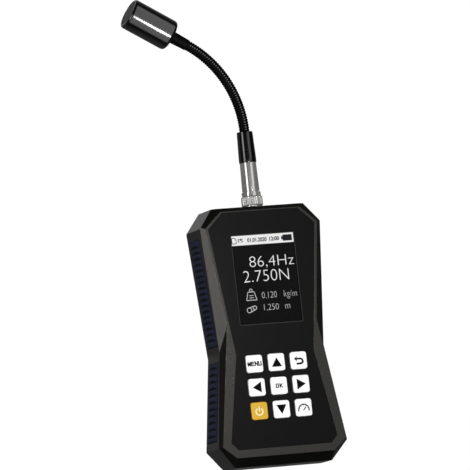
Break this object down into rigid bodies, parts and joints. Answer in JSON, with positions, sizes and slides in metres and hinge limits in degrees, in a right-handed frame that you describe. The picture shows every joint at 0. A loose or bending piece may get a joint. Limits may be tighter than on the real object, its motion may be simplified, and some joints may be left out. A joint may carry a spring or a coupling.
{
  "type": "belt tension tester",
  "caption": "Hand-held belt tension tester: waisted housing with grips, colour display and keypad, and a sensor head on a flexible neck plugged into its top.",
  "frame": {"origin": "centre of the flat rear face of the housing, which the meter lies on", "axes": "+X to the right of the keypad, +Y along the housing towards the sensor, +Z out of the front face"},
  "size_m": [0.1197, 0.3062, 0.0316],
  "materials": {
    "shell": "fine-textured black ABS",
    "grip": "navy-blue soft rubber",
    "overlay": "satin black printed film",
    "lens": "clear",
    "screen": "dark display glass",
    "steel": "bright",
    "board": "green solder mask",
    "pouch": "grey foil pouch",
    "nickel": "polished nickel plate",
    "insulator": "black",
    "gold": "gold plate",
    "shrink": "glossy black shrink tube",
    "neck": "black lacquer",
    "head": "satin black",
    "cloth": "dark grey acoustic cloth",
    "holder": "matt black",
    "key_white": "satin white",
    "key_amber": "satin amber"
  },
  "bodies": {
    "housing": {"front_shell": "shell", "rear_shell": "shell", "grip_left_upper": "grip", "grip_left_lower": "grip", "grip_right_upper": "grip", "grip_right_lower": "grip", "front_overlay": "overlay", "display_lens": "lens", "display_glass": "screen", "display_frame": "steel", "main_board": "board", "dome_switches": "steel", "battery": "pouch", "usb_socket": "steel", "housing_screws": "steel", "board_screws": "steel", "sensor_socket": "nickel", "socket_nut": "nickel", "socket_insert": "insulator", "plug_body": "nickel", "plug_insert": "insulator", "contact_pins": "gold", "shrink_boot": "shrink", "neck_root": "neck"},
    "key_menu": {"key_menu": "key_white"},
    "key_up": {"key_up": "key_white"},
    "key_back": {"key_back": "key_white"},
    "key_left": {"key_left": "key_white"},
    "key_ok": {"key_ok": "key_white"},
    "key_right": {"key_right": "key_white"},
    "key_power": {"key_power": "key_amber"},
    "key_down": {"key_down": "key_white"},
    "key_gauge": {"key_gauge": "key_white"},
    "coupling_ring": {"coupling_ring": "nickel"},
    "neck_link_1": {"neck_link_1": "neck"},
    "neck_link_2": {"neck_link_2": "neck"},
    "neck_link_3": {"neck_link_3": "neck"},
    "neck_link_4": {"neck_link_4": "neck"},
    "neck_link_5": {"neck_link_5": "neck"},
    "neck_link_6": {"neck_link_6": "neck"},
    "neck_link_7": {"neck_link_7": "neck"},
    "neck_link_8": {"neck_link_8": "neck"},
    "neck_link_9": {"neck_link_9": "neck"},
    "sensor_head": {"neck_end": "neck", "head_sleeve": "shrink", "head_shell": "head", "head_front": "cloth", "microphone": "nickel", "microphone_holder": "holder"}
  },
  "joints": [
    {"name": "key_menu_press", "type": "slide", "parent": "housing", "child": "key_menu", "axis": [0, 0, -1], "range_m": [0, 0.0004], "stiffness_N_per_m": 250, "springref_m": -0.002},
    {"name": "key_up_press", "type": "slide", "parent": "housing", "child": "key_up", "axis": [0, 0, -1], "range_m": [0, 0.0004], "stiffness_N_per_m": 250, "springref_m": -0.002},
    {"name": "key_back_press", "type": "slide", "parent": "housing", "child": "key_back", "axis": [0, 0, -1], "range_m": [0, 0.0004], "stiffness_N_per_m": 250, "springref_m": -0.002},
    {"name": "key_left_press", "type": "slide", "parent": "housing", "child": "key_left", "axis": [0, 0, -1], "range_m": [0, 0.0004], "stiffness_N_per_m": 250, "springref_m": -0.002},
    {"name": "key_ok_press", "type": "slide", "parent": "housing", "child": "key_ok", "axis": [0, 0, -1], "range_m": [0, 0.0004], "stiffness_N_per_m": 250, "springref_m": -0.002},
    {"name": "key_right_press", "type": "slide", "parent": "housing", "child": "key_right", "axis": [0, 0, -1], "range_m": [0, 0.0004], "stiffness_N_per_m": 250, "springref_m": -0.002},
    {"name": "key_power_press", "type": "slide", "parent": "housing", "child": "key_power", "axis": [0, 0, -1], "range_m": [0, 0.0004], "stiffness_N_per_m": 250, "springref_m": -0.002},
    {"name": "key_down_press", "type": "slide", "parent": "housing", "child": "key_down", "axis": [0, 0, -1], "range_m": [0, 0.0004], "stiffness_N_per_m": 250, "springref_m": -0.002},
    {"name": "key_gauge_press", "type": "slide", "parent": "housing", "child": "key_gauge", "axis": [0, 0, -1], "range_m": [0, 0.0004], "stiffness_N_per_m": 250, "springref_m": -0.002},
    {"name": "coupling_ring_turn", "type": "hinge", "parent": "housing", "child": "coupling_ring", "pos_m": [0, 0.08765, 0.019], "axis": [0, 1, 0], "range_deg": [0, 90]},
    {"name": "neck_sway_1", "type": "hinge", "parent": "housing", "child": "neck_link_1", "pos_m": [0, 0.1365, 0.019], "axis": [0, 0, 1], "range_deg": [-30, 14]},
    {"name": "neck_lift_1", "type": "hinge", "parent": "neck_link_1", "child": "neck_link_2", "pos_m": [-0.00071, 0.14346, 0.019], "axis": [0.9792, 0.2028, 0], "range_deg": [0, 24]},
    {"name": "neck_sway_2", "type": "hinge", "parent": "neck_link_2", "child": "neck_link_3", "pos_m": [-0.00213, 0.15032, 0.019], "axis": [0, 0, 1], "range_deg": [-30, 14]},
    {"name": "neck_lift_2", "type": "hinge", "parent": "neck_link_3", "child": "neck_link_4", "pos_m": [-0.00424, 0.15699, 0.019], "axis": [0.9178, 0.3971, 0], "range_deg": [0, 24]},
    {"name": "neck_sway_3", "type": "hinge", "parent": "neck_link_4", "child": "neck_link_5", "pos_m": [-0.00702, 0.16342, 0.019], "axis": [0, 0, 1], "range_deg": [-30, 14]},
    {"name": "neck_lift_3", "type": "hinge", "parent": "neck_link_5", "child": "neck_link_6", "pos_m": [-0.01044, 0.16952, 0.019], "axis": [0.8181, 0.575, 0], "range_deg": [0, 24]},
    {"name": "neck_sway_4", "type": "hinge", "parent": "neck_link_6", "child": "neck_link_7", "pos_m": [-0.01447, 0.17525, 0.019], "axis": [0, 0, 1], "range_deg": [-30, 14]},
    {"name": "neck_lift_4", "type": "hinge", "parent": "neck_link_7", "child": "neck_link_8", "pos_m": [-0.01906, 0.18054, 0.019], "axis": [0.6845, 0.729, 0], "range_deg": [0, 24]},
    {"name": "neck_sway_5", "type": "hinge", "parent": "neck_link_8", "child": "neck_link_9", "pos_m": [-0.02416, 0.18533, 0.019], "axis": [0, 0, 1], "range_deg": [-30, 14]},
    {"name": "neck_lift_5", "type": "hinge", "parent": "neck_link_9", "child": "sensor_head", "pos_m": [-0.02972, 0.18958, 0.019], "axis": [0.5225, 0.8526, 0], "range_deg": [0, 24]}
  ]
}
